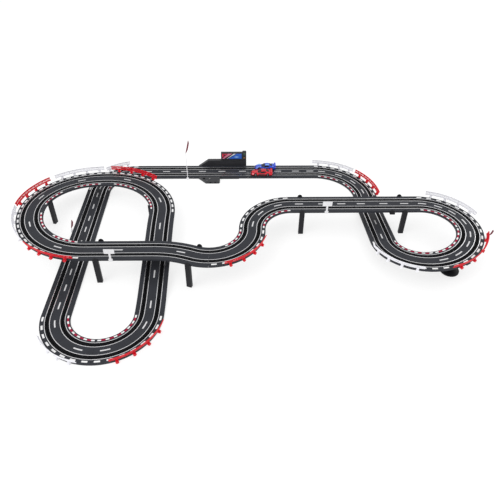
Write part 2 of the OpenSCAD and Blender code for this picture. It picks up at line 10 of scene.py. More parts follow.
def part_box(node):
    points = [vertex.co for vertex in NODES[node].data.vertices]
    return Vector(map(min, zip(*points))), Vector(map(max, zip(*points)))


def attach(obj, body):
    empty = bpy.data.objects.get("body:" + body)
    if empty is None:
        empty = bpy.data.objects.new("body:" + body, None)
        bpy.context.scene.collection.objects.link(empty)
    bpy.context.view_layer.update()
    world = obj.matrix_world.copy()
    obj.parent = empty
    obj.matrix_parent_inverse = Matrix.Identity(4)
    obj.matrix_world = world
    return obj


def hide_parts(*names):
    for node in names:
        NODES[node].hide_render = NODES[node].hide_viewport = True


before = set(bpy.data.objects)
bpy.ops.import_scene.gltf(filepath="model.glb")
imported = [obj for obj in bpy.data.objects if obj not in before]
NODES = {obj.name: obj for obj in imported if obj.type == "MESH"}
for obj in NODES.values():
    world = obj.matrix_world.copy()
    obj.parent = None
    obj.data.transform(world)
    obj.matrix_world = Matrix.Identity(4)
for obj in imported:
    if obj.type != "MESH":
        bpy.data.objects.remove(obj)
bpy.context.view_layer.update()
MM = 0.001
TRACK = "track_set"


# ---------------------------------------------------------------- camera

def make_camera():
    """The photographer stood in front, a little right of the terminal, looking down at 41 degrees."""
    pitch, yaw, roll = (math.radians(a) for a in (40.73, 1.456, 0.594))
    forward = Vector((math.sin(yaw) * math.cos(pitch), math.cos(yaw) * math.cos(pitch), -math.sin(pitch)))
    level = Vector((math.cos(yaw), -math.sin(yaw), 0))
    upright = level.cross(forward)
    right = level * math.cos(roll) + upright * math.sin(roll)
    up = upright * math.cos(roll) - level * math.sin(roll)
    data = bpy.data.cameras.new("camera")
    data.lens = 38.38
    data.sensor_width = 36
    camera = bpy.data.objects.new("camera", data)
    axes = Matrix((right, up, -forward)).transposed().to_4x4()
    camera.matrix_world = Matrix.Translation((0.0986, -2.4415, 1.5543)) @ axes
    bpy.context.scene.collection.objects.link(camera)
    bpy.context.scene.camera = camera


make_camera()


# ---------------------------------------------------------------- road path, in millimetres

ROAD_W, ROAD_H, LANE, STRAIGHT = 115, 9, 28.75, 290
TIGHT, BIG, SWEEP, OFFSET = 180, 290, 240, 416
BRIDGE_H, LOOP_H = 124, 95
LEG_LEFT, LEG_RIGHT = 265, 270
EDGE = ROAD_W / 2
RAIL_OFF, RAIL_W = 9.6, 2.2
SLOT_W, RECESS = 3.2, 0.8
JOINT_GAP, CLIMB_STEPS = 0.4, 10

HALF_TURN, BEND = 22.5, 45
_c, _s = math.cos(math.radians(HALF_TURN)), math.sin(math.radians(HALF_TURN))
SWAY_X = OFFSET * _s + TIGHT * (1 + _s) + TIGHT
SWAY_Y = TIGHT * (1 + _c) - OFFSET * (1 - _c)
UNDER_LEG = 2 * STRAIGHT + LEG_LEFT - 2 * LEG_RIGHT + 2 * TIGHT + BIG - SWEEP - SWAY_Y
FILLER = SWAY_X - BIG - SWEEP


# A road piece is (turn, size, degrees). A bend turns 1 for left or -1 for right, about its centre
# line's radius; a straight turns 0 and has a length.
def line(length):
    return (0, length, 0)


RUN = (
    [line(STRAIGHT)] * 2 + [(1, TIGHT, BEND)] * 2 + [line(STRAIGHT)] * 2 + [line(LEG_LEFT)]
    + [(1, TIGHT, BEND)] * 4 + [line(LEG_RIGHT)] * 2 + [(1, BIG, BEND)] * 6 + [line(STRAIGHT)]
    + [(-1, OFFSET, HALF_TURN), (1, TIGHT, HALF_TURN)] + [(1, TIGHT, BEND)] * 2
    + [(-1, TIGHT, BEND)] * 2 + [line(STRAIGHT)] * 2 + [(-1, TIGHT, BEND)] * 6
    + [line(STRAIGHT), line(UNDER_LEG - STRAIGHT)] + [(1, SWEEP, BEND)] * 2
    + [line(FILLER), line(STRAIGHT)]
)
# First piece, last piece, height before, height after, share eased at each end.
CLIMBS = [(11, 12, ROAD_H, LOOP_H, 0.2), (15, 16, LOOP_H, BRIDGE_H, 0.2), (30, 35, BRIDGE_H, ROAD_H, 0.15)]


def advance(pose, piece, t=1.0):
    """Where the centre line has got to, and its heading, at a share t of a piece."""
    x, y, heading = pose
    turn, size, degrees = piece
    a = math.radians(heading)
    if turn == 0:
        return (x + size * t * math.cos(a), y + size * t * math.sin(a), heading)
    b = math.radians(heading + turn * degrees * t)
    return (
        x + turn * size * (math.sin(b) - math.sin(a)),
        y + turn * size * (math.cos(a) - math.cos(b)),
        heading + turn * degrees * t,
    )


def span(piece):
    return piece[1] if piece[0] == 0 else piece[1] * math.radians(piece[2])


POSES = [(STRAIGHT / 2, 0, 180)]
for _piece in RUN[:-1]:
    POSES.append(advance(POSES[-1], _piece))


def climb_of(i):
    return next((c for c in CLIMBS if c[0] <= i <= c[1]), None)


def eased(u, e):
    """A climb's share of its height at a share u of its length: a ramp with parabolic ends."""
    if u < e:
        return u * u / (2 * e * (1 - e))
    if u > 1 - e:
        return 1 - (1 - u) ** 2 / (2 * e * (1 - e))
    return (u - e / 2) / (1 - e)


def height(i, t):
    climb = climb_of(i)
    if climb is None:
        passed = [c[3] for c in CLIMBS if c[1] < i]
        return passed[-1] if passed else ROAD_H
    first, last, low, high, e = climb
    before = sum(span(q) for q in RUN[first:i])
    total = sum(span(q) for q in RUN[first:last + 1])
    return low + (high - low) * eased((before + t * span(RUN[i])) / total, e)


def on_arc(i, t, side, up):
    """A point over piece i at share t, side mm to the left and up mm above the road."""
    x, y, heading = advance(POSES[i], RUN[i], t)
    a = math.radians(heading)
    return Vector((x - side * math.sin(a), y + side * math.cos(a), height(i, t) + up))


def road_point(i, t, side, up):
    """A point over piece i, side mm to the left. A climbing piece is straight between its rings."""
    if climb_of(i) is None:
        return on_arc(i, t, side, up)
    trim = JOINT_GAP / 2 / span(RUN[i])
    place = (t - trim) / (1 - 2 * trim) * CLIMB_STEPS
    k = min(max(math.floor(place), 0), CLIMB_STEPS - 1)
    a, b = (trim + (1 - 2 * trim) * m / CLIMB_STEPS for m in (k, k + 1))
    return on_arc(i, a, side, up).lerp(on_arc(i, b, side, up), place - k)


def shares(i, t0, t1):
    """Shares of piece i at which a strip from t0 to t1 needs a ring of points."""
    if climb_of(i) is not None:
        trim = JOINT_GAP / 2 / span(RUN[i])
        rings = [trim + (1 - 2 * trim) * k / CLIMB_STEPS for k in range(CLIMB_STEPS + 1)]
        return [t0] + [t for t in rings if t0 + 1e-4 < t < t1 - 1e-4] + [t1]
    if RUN[i][0] == 0:
        return [t0, t1]
    steps = max(1, math.ceil((t1 - t0) * RUN[i][2] / 2.5))
    return [t0 + (t1 - t0) * k / steps for k in range(steps + 1)]


# ---------------------------------------------------------------- mesh helpers

def finish_mesh(name, bm, mat, body=TRACK, smooth=False):
    """Turns a bmesh into a piece that rides on a CAD body."""
    bmesh.ops.recalc_face_normals(bm, faces=bm.faces)
    mesh = bpy.data.meshes.new(name)
    bm.to_mesh(mesh)
    bm.free()
    obj = bpy.data.objects.new(name, mesh)
    bpy.context.scene.collection.objects.link(obj)
    mesh.materials.append(mat)
    if smooth:
        mesh.shade_smooth()
    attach(obj, body)
    return obj


def round_edges(obj, width, segments=2):
    mod = obj.modifiers.new("edges", "BEVEL")
    mod.width = width * MM
    mod.segments = segments
    mod.limit_method = "ANGLE"
    mod.angle_limit = math.radians(35)


def tube(bm, rings):
    """A closed prism through rings that each hold the same number of points."""
    loops = [[bm.verts.new(p) for p in ring] for ring in rings]
    n = len(loops[0])
    for a, b in zip(loops, loops[1:]):
        for k in range(n):
            bm.faces.new((a[k], a[(k + 1) % n], b[(k + 1) % n], b[k]))
    bm.faces.new(loops[0][::-1])
    bm.faces.new(loops[-1])


def strip(bm, i, t0, t1, s0, s1, v0, v1):
    """A flat bar along piece i, between shares t0 and t1, sides s0 and s1, and heights v0 and v1."""
    rings = []
    for t in shares(i, t0, t1):
        corners = ((s0, v0), (s1, v0), (s1, v1), (s0, v1))
        rings.append([road_point(i, t, s, v) * MM for s, v in corners])
    tube(bm, rings)


def box_in(bm, matrix, lo, hi):
    """A box between two corners in mm, in the frame of matrix."""
    section = ((lo[1], lo[2]), (hi[1], lo[2]), (hi[1], hi[2]), (lo[1], hi[2]))
    tube(bm, [[matrix @ (Vector((x, y, z)) * MM) for y, z in section] for x in (lo[0], hi[0])])


def circle_points(matrix, r, z, sides):
    angles = [2 * math.pi * k / sides for k in range(sides)]
    return [matrix @ (Vector((r * math.cos(a), r * math.sin(a), z)) * MM) for a in angles]


def turned(bm, matrix, profile, sides=32):
    """A closed solid of revolution about the frame's Z; profile is [(radius, z)] from axis to axis."""
    rows = []
    for r, z in profile:
        count = sides if r > 1e-6 else 1
        rows.append([bm.verts.new(q) for q in circle_points(matrix, r, z, count)])
    for a, b in zip(rows, rows[1:]):
        for k in range(sides):
            m = (k + 1) % sides
            if len(a) == 1:
                bm.faces.new((a[0], b[m], b[k]))
            elif len(b) == 1:
                bm.faces.new((a[k], a[m], b[0]))
            else:
                bm.faces.new((a[k], a[m], b[m], b[k]))


def ring(bm, matrix, section, sides):
    """A closed ring swept about the frame's Z from a closed section of (radius, z) points."""
    rows = [[bm.verts.new(q) for q in circle_points(matrix, r, z, sides)] for r, z in section]
    for a, b in zip(rows, rows[1:] + rows[:1]):
        for k in range(sides):
            m = (k + 1) % sides
            bm.faces.new((a[k], a[m], b[m], b[k]))


# ---------------------------------------------------------------- materials

def material(name, colour, rough, grain=900, bump=0.06, vary=0.06, metal=0.0, coat=0.0, scale=18, gloss=0.5):
    """Moulded or drawn material: colour and roughness drift slowly, and a fine grain lifts the surface."""
    mat = bpy.data.materials.new(name)
    mat.use_nodes = True
    tree = mat.node_tree
    shader = tree.nodes["Principled BSDF"]
    shader.inputs["Metallic"].default_value = metal
    shader.inputs["Coat Weight"].default_value = coat
    shader.inputs["Coat Roughness"].default_value = 0.08
    shader.inputs["Specular IOR Level"].default_value = gloss
    place = tree.nodes.new("ShaderNodeTexCoord")
    slow = tree.nodes.new("ShaderNodeTexNoise")
    slow.inputs["Scale"].default_value = scale
    slow.inputs["Detail"].default_value = 5
    fine = tree.nodes.new("ShaderNodeTexNoise")
    fine.inputs["Scale"].default_value = grain
    fine.inputs["Detail"].default_value = 3
    for node in (slow, fine):
        tree.links.new(place.outputs["Object"], node.inputs["Vector"])
    ramp = tree.nodes.new("ShaderNodeValToRGB")
    ramp.color_ramp.elements[0].position = 0.3
    ramp.color_ramp.elements[1].position = 0.7
    ramp.color_ramp.elements[0].color = [c * (1 - vary) for c in colour] + [1]
    ramp.color_ramp.elements[1].color = [min(1, c * (1 + vary)) for c in colour] + [1]
    tree.links.new(slow.outputs["Fac"], ramp.inputs["Fac"])
    tree.links.new(ramp.outputs["Color"], shader.inputs["Base Color"])
    spread = tree.nodes.new("ShaderNodeMapRange")
    spread.inputs["To Min"].default_value = max(0.03, rough - 0.07)
    spread.inputs["To Max"].default_value = min(1, rough + 0.07)
    tree.links.new(slow.outputs["Fac"], spread.inputs["Value"])
    tree.links.new(spread.outputs["Result"], shader.inputs["Roughness"])
    lift = tree.nodes.new("ShaderNodeBump")
    lift.inputs["Strength"].default_value = bump
    lift.inputs["Distance"].default_value = 0.0002
    tree.links.new(fine.outputs["Fac"], lift.inputs["Height"])
    tree.links.new(lift.outputs["Normal"], shader.inputs["Normal"])
    return mat


def brushed(name, colour, rough, stretch):
    """Drawn metal with fine scratches along one axis."""
    mat = material(name, colour, rough, grain=400, bump=0.1, metal=1.0)
    tree = mat.node_tree
    mapping = tree.nodes.new("ShaderNodeMapping")
    mapping.inputs["Scale"].default_value = stretch
    place = next(n for n in tree.nodes if n.bl_idname == "ShaderNodeTexCoord")
    fine = [n for n in tree.nodes if n.bl_idname == "ShaderNodeTexNoise"][1]
    tree.links.new(place.outputs["Object"], mapping.inputs["Vector"])
    tree.links.new(mapping.outputs["Vector"], fine.inputs["Vector"])
    return mat


def lens(name, colour, glow):
    """A lit lens with a moulded prism pattern."""
    mat = material(name, colour, 0.15, grain=700, bump=0.3, coat=0.6)
    shader = mat.node_tree.nodes["Principled BSDF"]
    shader.inputs["Emission Color"].default_value = list(colour) + [1]
    shader.inputs["Emission Strength"].default_value = glow
    return mat


def painted_edge_highlight(mat, colour, amount=0.35):
    """Painted highlight: slightly lighter convex edges on a dark moulding, where edges catch the light."""
    tree = mat.node_tree
    shader = tree.nodes["Principled BSDF"]
    base = shader.inputs["Base Color"].links[0].from_socket
    geo = tree.nodes.new("ShaderNodeNewGeometry")
    pick = tree.nodes.new("ShaderNodeMapRange")
    pick.inputs["From Min"].default_value = 0.52
    pick.inputs["From Max"].default_value = 0.62
    pick.inputs["To Max"].default_value = amount
    mix = tree.nodes.new("ShaderNodeMix")
    mix.data_type = "RGBA"
    tree.links.new(geo.outputs["Pointiness"], pick.inputs["Value"])
    tree.links.new(pick.outputs["Result"], mix.inputs["Factor"])
    tree.links.new(base, mix.inputs[6])
    mix.inputs[7].default_value = list(colour) + [1]
    tree.links.new(mix.outputs[2], shader.inputs["Base Color"])


ROAD = material(
    "road_plastic", (0.024, 0.026, 0.033), 0.66, grain=1400, bump=0.35, vary=0.12, scale=25, gloss=0.3,
)
# Painted shade: a near-black material for the rail recesses, the slot floors and the sockets, standing in for
# the shade in them.
SHADE_BLACK = material("painted_shade_black", (0.003, 0.003, 0.004), 0.8, grain=1200, bump=0.15, gloss=0.15)
RAIL = brushed("rail_steel", (0.93, 0.93, 0.95), 0.42, (1, 1, 8))
SUPPORT = material("support_plastic", (0.007, 0.007, 0.009), 0.5, grain=1100, bump=0.2, gloss=0.15)
RED = material("red_plastic", (0.66, 0.006, 0.018), 0.35, bump=0.05, gloss=0.25)
WHITE = material("white_plastic", (0.80, 0.80, 0.82), 0.32, bump=0.05, coat=0.25, vary=0.03)
MESH_WHITE = material("frosted_plastic", (0.86, 0.86, 0.90), 0.4, bump=0.05, vary=0.03)
PAINT_WHITE = material("marking_white", (0.84, 0.84, 0.84), 0.5, grain=1500, bump=0.2, vary=0.05)
PAINT_DASH = material("dash_white", (0.66, 0.66, 0.67), 0.55, grain=1500, bump=0.2, vary=0.08)
PAINT_RED = material("marking_red", (0.36, 0.004, 0.040), 0.5, grain=1500, bump=0.2, vary=0.06, gloss=0.2)
HOUSING = material("housing_plastic", (0.027, 0.028, 0.032), 0.42, grain=1000, bump=0.25, gloss=0.35)
HOUSING_GLOSS = material("housing_gloss", (0.010, 0.010, 0.012), 0.2, bump=0.05, coat=0.5)
METAL = brushed("bright_steel", (0.75, 0.75, 0.77), 0.25, (1, 12, 12))
METAL_DARK = brushed("dark_steel", (0.20, 0.20, 0.21), 0.4, (3, 3, 3))
RIM = material("rim_grey", (0.12, 0.12, 0.125), 0.3, bump=0.03, metal=0.8)
BRASS = brushed("brass", (0.70, 0.46, 0.15), 0.28, (6, 6, 6))
COPPER = brushed("copper_braid", (0.72, 0.33, 0.14), 0.4, (20, 3, 3))
RUBBER = material("tyre_rubber", (0.012, 0.012, 0.012), 0.75, grain=1800, bump=0.4)
GREY = material("grey_plastic", (0.34, 0.34, 0.35), 0.45, bump=0.1)
NYLON = material("nylon", (0.76, 0.74, 0.68), 0.45, bump=0.08)
FLAG = material("flag_red", (0.17, 0.012, 0.030), 0.5, grain=1600, bump=0.15)
BOARD = material("board_green", (0.012, 0.14, 0.04), 0.35, grain=1200, bump=0.2)
GREEN = lens("green_lens", (0.04, 0.11, 0.05), 0.02)
ORANGE = lens("orange_lens", (0.26, 0.13, 0.045), 0.03)
GLASS = material("dark_glass", (0.005, 0.006, 0.010), 0.12, bump=0.01, coat=0.15, vary=0.02, gloss=0.3)
BLUE_PAINT = material("blue_paint", (0.010, 0.055, 0.62), 0.25, grain=2600, bump=0.02, coat=0.4, gloss=0.4)
RED_PAINT = material("crimson_paint", (0.68, 0.005, 0.020), 0.25, grain=2600, bump=0.02, coat=0.3, gloss=0.4)
PRINT_BLUE = material("print_blue", (0.025, 0.13, 0.60), 0.3, bump=0.03, coat=0.5)
PRINT_RED = material("print_red", (0.68, 0.02, 0.06), 0.3, bump=0.03, coat=0.5)
PRINT_PINK = material("print_pink", (0.72, 0.20, 0.30), 0.3, bump=0.03, coat=0.5)
PRINT_SKY = material("print_sky", (0.25, 0.48, 0.85), 0.3, bump=0.03, coat=0.5)
PRINT_DARK = material("print_dark", (0.012, 0.012, 0.02), 0.3, bump=0.03, coat=0.5)
LAMP_CLEAR = lens("lamp_clear", (0.85, 0.87, 0.90), 0.0)
# Painted highlight: the convex edges of the supports and housings are lightened.
for _mat in (SUPPORT, HOUSING):
    painted_edge_highlight(_mat, (0.035, 0.035, 0.04))

ROADS = [
    "terminal_straight", "back_straight_left", "back_curve_left", "left_leg", "bottom_bend", "ramp_leg",
    "big_loop", "front_straight", "offset_curve", "s_curve", "bridge_straights", "right_loop",
    "underpass_leg", "back_curve_right", "back_straight_right",
]
FINISHES = {
    "left_lane_rails": RAIL, "right_lane_rails": RAIL, "joint_locks": SUPPORT, "support_beams": SUPPORT,
    "support_posts": SUPPORT, "red_guard_rails": RED, "white_guard_rails": MESH_WHITE, "sign_posts": WHITE,
    "sign_boards": WHITE, "flag_poles": WHITE, "flags": FLAG, "far_housing": HOUSING,
    "circuit_board": BOARD, "display_tower": HOUSING, "display_panel": PRINT_DARK, "lamp_column": HOUSING,
    # sockets: painted shade, near black, standing in for the shadow in the socket holes.
    "green_lamp": GREEN, "orange_lamp": ORANGE, "near_housing": HOUSING, "sockets": SHADE_BLACK,
    "power_switch": GREY,
}
FINISHES.update({name: ROAD for name in ROADS})
CAR_PAINT = {"blue": BLUE_PAINT, "red": RED_PAINT}
for _car, _paint in CAR_PAINT.items():
    FINISHES.update({
        f"{_car}_shell": _paint, f"{_car}_glazing": GLASS, f"{_car}_chassis": HOUSING,
        f"{_car}_motor": METAL, f"{_car}_pinion": BRASS, f"{_car}_crown_gear": NYLON,
        f"{_car}_rear_axle": METAL, f"{_car}_rear_wheels": RUBBER, f"{_car}_front_axle": METAL,
        f"{_car}_front_wheels": RUBBER, f"{_car}_guide": HOUSING, f"{_car}_brushes": COPPER,
    })
for _name, _obj in NODES.items():
    _obj.data.materials.clear()
    _obj.data.materials.append(FINISHES[_name])
for _name, _width in (
    ("support_posts", 1.2), ("support_beams", 0.8), ("far_housing", 2.0), ("display_tower", 1.2),
    ("lamp_column", 2.5), ("near_housing", 1.5), ("display_panel", 0.4), ("sign_boards", 0.5),
    ("sign_posts", 0.5), ("power_switch", 0.5),
):
    round_edges(NODES[_name], _width, 3)


# ---------------------------------------------------------------- road markings

PROUD = 0.14
SUNK = -0.25


def lane_channels():
    """Painted shade: a near-black floor between a lane's two rails, either side of its slot, standing in for
    the shade in the shallow recess.
    """
    bm = bmesh.new()
    near = SLOT_W / 2 + 0.05
    far = RAIL_OFF - RAIL_W / 2 - 0.05
    for i, piece in enumerate(RUN):
        trim = JOINT_GAP / 2 / span(piece) + 1e-5
        for lane in (-LANE, LANE):
            for s0, s1 in ((lane - far, lane - near), (lane + near, lane + far)):
                strip(bm, i, trim, 1 - trim, s0, s1, -RECESS - 0.3, -RECESS + 0.06)
    finish_mesh("lane_channels", bm, SHADE_BLACK)


# Painted shade: a near-black strip on the floor of each slot, standing in for the shade deep in the slot.
def slot_floors():
    bm = bmesh.new()
    half = SLOT_W / 2 - 0.1
    for i, piece in enumerate(RUN):
        trim = JOINT_GAP / 2 / span(piece) + 1e-5
        for lane in (-LANE, LANE):
            strip(bm, i, trim, 1 - trim, lane - half, lane + half, -7.3, -6.92)
    finish_mesh("slot_floors", bm, SHADE_BLACK)


DASH_L, DASH_W = 37, 5.5
# Shares of a piece at which its centre dashes lie, where they aren't at the usual places.
DASHES = {
    0: (0.10, 0.48, 0.84), 4: (0.12, 0.46, 0.79), 5: (0.08, 0.42, 0.76), 6: (0.08, 0.44, 0.82),
    7: (0.34,), 8: (0.58,), 9: (0.30,), 10: (0.59,), 11: (0.18, 0.73), 12: (0.13, 0.68), 13: (0.46,),
    14: (0.59,), 15: (0.58,), 16: (0.58,), 17: (0.52,), 18: (0.52,), 19: (0.50,), 20: (0.70,), 21: (),
    22: (), 23: (), 24: (0.24, 0.86), 25: (0.57,), 26: (0.13, 0.50, 0.80), 27: (0.11, 0.47, 0.80),
    28: (0.17, 0.68), 29: (0.16, 0.70), 30: (0.32, 0.78), 31: (0.30, 0.81), 32: (), 33: (),
    34: (0.12, 0.55), 38: (0.26,), 39: (0.12, 0.45, 0.78),
}


def usual_dashes(i):
    turn, size, _ = RUN[i]
    if turn:
        return (1 / 4, 3 / 4)
    return (1 / 6, 1 / 2, 5 / 6) if size > 200 else (1 / 2,)


def centre_dashes():
    bm = bmesh.new()
    for i, piece in enumerate(RUN):
        half = DASH_L / 2 / span(piece)
        for centre in DASHES.get(i, usual_dashes(i)):
            strip(bm, i, centre - half, centre + half, -DASH_W / 2, DASH_W / 2, SUNK, PROUD)
    finish_mesh("centre_dashes", bm, PAINT_DASH)


def piece_at(first, degrees):
    """The piece that holds a place some degrees past the start of piece first, and its share."""
    i = first
    while degrees >= RUN[i][2] and RUN[i + 1][0] == RUN[first][0] and RUN[i + 1][1] == RUN[first][1]:
        degrees -= RUN[i][2]
        i += 1
    return i, degrees / RUN[i][2]


def arc_strip(bm, first, a0, a1, s0, s1):
    """A strip between two angles, split where it crosses a joint."""
    i, t0 = piece_at(first, a0 + 1e-6)
    j, t1 = piece_at(first, a1 - 1e-6)
    gap = JOINT_GAP / 2 / span(RUN[i]) + 1e-5
    if i == j:
        strip(bm, i, max(t0, gap), min(t1, 1 - gap), s0, s1, SUNK, PROUD)
    else:
        strip(bm, i, t0, 1 - gap, s0, s1, SUNK, PROUD)
        strip(bm, j, gap, t1, s0, s1, SUNK, PROUD)


# Bends with kerbs: first piece, total degrees, outer blocks, then the inner runs as
# (degrees at the start, degrees at the end, number of blocks).
INNER_90 = (2.2, 87.8, 13)
INNER_45 = (7.7, 37.3, 9)
KERBS = [
    (2, 90, 8, [INNER_90]),
    (7, 90, 8, [INNER_90]),
    (9, 90, 8, [INNER_90]),
    (22, 90, 8, [(30, 87.8, 9)]),
    (24, 90, 8, [INNER_90]),
    (28, 90, 8, [INNER_90]),
    (30, 90, 8, [INNER_90]),
    (32, 90, 8, [INNER_90]),
    (36, 90, 10, [(7.0, 40.0, 7), (50.0, 83.0, 7)]),
] + [(i, 45, 7, [INNER_45]) for i in range(13, 19)]
OUTER_BAND = (44.0, 51.5)
INNER_BAND = (46.2, 52.8)
RED_SHARE = 1.25
OUTER_BLOCK = 22


def kerbs():
    outer, white, red = bmesh.new(), bmesh.new(), bmesh.new()
    for first, total, blocks, inner_runs in KERBS:
        turn, radius, _ = RUN[first]
        s0, s1 = (-turn * b for b in OUTER_BAND)
        pitch = total / blocks
        half = math.degrees(OUTER_BLOCK / 2 / (radius + sum(OUTER_BAND) / 2))
        for k in range(blocks):
            centre = pitch * (k + 0.5)
            arc_strip(outer, first, centre - half, centre + half, min(s0, s1), max(s0, s1))
        s0, s1 = (turn * b for b in INNER_BAND)
        for start, end, count in inner_runs:
            each = (end - start) / ((count + 1) // 2 + RED_SHARE * (count // 2))
            a = start
            for k in range(count):
                bm, size = (white, each) if k % 2 == 0 else (red, each * RED_SHARE)
                arc_strip(bm, first, a, a + size, min(s0, s1), max(s0, s1))
                a += size
    finish_mesh("outer_kerbs", outer, PAINT_WHITE)
    finish_mesh("inner_kerbs_white", white, PAINT_WHITE)
    finish_mesh("inner_kerbs_red", red, PAINT_RED)


lane_channels()
slot_floors()
centre_dashes()
kerbs()


# ---------------------------------------------------------------- guard rail lattice

# The first piece of each guard's bend, and its first and last degree there.
RED_GUARDS = [
    (16, 4, 44.6), (14, 3, 44.8), (18, 2, 41), (9, 16, 78), (22, 15.5, 72.5), (30, 13, 80), (36, 0.5, 43.5),
]
WHITE_GUARDS = [
    (17, 1, 44), (15, 5.5, 44.8), (7, 29, 79), (2, 13, 44), (28, 12.5, 72.5), (30, 106, 166), (36, 46, 89.5),
]
GUARD_LOW, GUARD_HIGH = (EDGE + 6.0, 11.5), (EDGE + 11.0, 24.5)
WIRE, CELL = 0.8, 4.6


def lattice(name, guards, mat):
    """Thin crossed wires between a guard rail's two bars, each bar given as (side, height)."""
    bm = bmesh.new()
    for first, start, end in guards:
        turn, radius, _ = RUN[first]
        cells = round(math.radians(end - start) * (radius + GUARD_HIGH[0]) / CELL)
        for k in range(cells):
            a, b = (start + (end - start) * m / cells for m in (k, k + 1))
            i, ta = piece_at(first, a + 1e-6)
            tb = ta + (b - a) / RUN[i][2]
            for low, high in ((ta, tb), (tb, ta)):
                foot = on_arc(i, low, -turn * GUARD_LOW[0], GUARD_LOW[1])
                top = on_arc(i, high, -turn * GUARD_HIGH[0], GUARD_HIGH[1])
                along = Vector((top.x - foot.x, top.y - foot.y, 0)).normalized() * WIRE
                out = Vector((along.y, -along.x, 0))
                corners = (along + out, out - along, -along - out, along - out)
                tube(bm, [[(foot + c) * MM for c in corners], [(top + c) * MM for c in corners]])
    finish_mesh(name, bm, mat)


lattice("red_guard_lattice", RED_GUARDS, RED)
lattice("white_guard_lattice", WHITE_GUARDS, MESH_WHITE)


# ---------------------------------------------------------------- terminal details

def terminal_details():
    """Panel artwork in plain shapes, lamp bezels, and the screws of the near housing."""
    lo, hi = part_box("display_panel")
    x0, z0, x1, z1 = lo.x / MM, lo.z / MM, hi.x / MM, hi.z / MM
    front = lo.y / MM
    w, h = x1 - x0, z1 - z0

    def plate(name, outline, mat, out):
        bm = bmesh.new()
        depths = (front + 0.3, front - out)
        tube(bm, [[Vector((x0 + u * w, y, z0 + v * h)) * MM for u, v in outline] for y in depths])
        finish_mesh(name, bm, mat)

    plate("panel_red_field", [(0.02, 0.30), (0.30, 0.95), (0.02, 0.95)], PRINT_RED, 0.10)
    plate("panel_pink_band", [(0.02, 0.10), (0.10, 0.05), (0.52, 0.95), (0.33, 0.95)], PRINT_PINK, 0.10)
    plate("panel_pale_line", [(0.24, 0.05), (0.27, 0.05), (0.70, 0.95), (0.60, 0.95)], LAMP_CLEAR, 0.12)
    plate("panel_blue_field", [(0.34, 0.05), (0.98, 0.05), (0.98, 0.95), (0.74, 0.95)], PRINT_BLUE, 0.10)
    arrow = ((0, 0), (0.55, 0), (1, 0.5), (0.55, 1), (0, 1), (0.4, 0.5))
    plate("panel_blue_arrow", [(0.60 + 0.26 * u, 0.22 + 0.28 * v) for u, v in arrow], PRINT_SKY, 0.20)
    plate("panel_red_arrow", [(0.06 + 0.14 * u, 0.62 + 0.20 * v) for u, v in arrow], PRINT_DARK, 0.20)

    bezels = bmesh.new()
    for node in ("green_lamp", "orange_lamp"):
        a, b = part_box(node)
        centre = (a + b) / 2 / MM
        face = Matrix.Translation((centre.x * MM, b.y, centre.z * MM)) @ Matrix.Rotation(math.pi / 2, 4, "X")
        ring(bezels, face, [(5.2, 0), (6.8, 0), (6.8, 2.3), (6.5, 2.6), (5.5, 2.6), (5.2, 2.3)], 32)
    finish_mesh("lamp_bezels", bezels, HOUSING_GLOSS)

    screws = bmesh.new()
    lo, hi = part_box("near_housing")
    for x, y in ((-70, -97), (-12, -94), (-104, -63), (-10, -64)):
        screw(screws, Matrix.Translation(Vector((x, y, hi.z / MM)) * MM), 2.6)
    finish_mesh("near_housing_screws", screws, METAL_DARK)


def screw(bm, matrix, r):
    """A screw's pan head, standing on the frame's XY plane."""
    turned(bm, matrix, [(0, -0.4), (r, -0.4), (r, 0.5), (r * 0.8, 0.95), (r * 0.4, 1.1), (0, 1.1)], 24)


terminal_details()


# ---------------------------------------------------------------- cars

CAR_AT = {"blue": (239, LANE), "red": (218, -LANE)}
AXLE_Z, WHEEL_R = 8.2, 8.0
REAR_X, FRONT_X = 31, -33
WHEEL_IN, WHEEL_W = 13.8, 7.4
NOSE_X, TAIL_X = -56.6, 55.4


def mix_points(u, points):
    """Smooth value at u through (u, value) pairs."""
    for (a, p), (b, q) in zip(points, points[1:]):
        if u <= b:
            f = (u - a) / (b - a)
            return p + (q - p) * f * f * (3 - 2 * f)
    return points[-1][1]


def hull_surface(u, v):
    """Body side and deck: u from nose to tail, v from sill over the deck to the other sill."""
    x = NOSE_X + (TAIL_X - NOSE_X) * u
    half = mix_points(u, [
        (0, 12), (0.05, 17.6), (0.16, 21.2), (0.34, 20.6), (0.5, 20.2), (0.66, 21.4), (0.86, 21.8),
        (0.96, 20.0), (1, 18.4),
    ])
    deck = mix_points(u, [
        (0, 10), (0.06, 12.6), (0.2, 16.4), (0.4, 17.6), (0.7, 18.6), (0.9, 19.8), (1, 17.2),
    ])
    sill = mix_points(u, [(0, 6.6), (0.06, 4.6), (0.5, 4.0), (0.94, 4.6), (1, 7.0)])
    angle = v * math.pi / 2
    across = math.copysign(abs(math.sin(angle)) ** 0.42, v) if v else 0.0
    rise = max(0.0, math.cos(angle)) ** 0.36
    z = sill + (deck - sill) * rise
    fender = sum(h * math.exp(-((x - c) / w) ** 2) for c, w, h in ((FRONT_X, 11, 2.6), (REAR_X + 1, 13, 2.4)))
    shoulder = math.exp(-((abs(across) - 0.80) / 0.17) ** 2)
    z += fender * shoulder * rise
    tuck = 1 - 0.07 * (1 - rise) ** 2
    return Vector((x, half * across * tuck, z))


CABIN_X0, CABIN_X1 = -23, 41


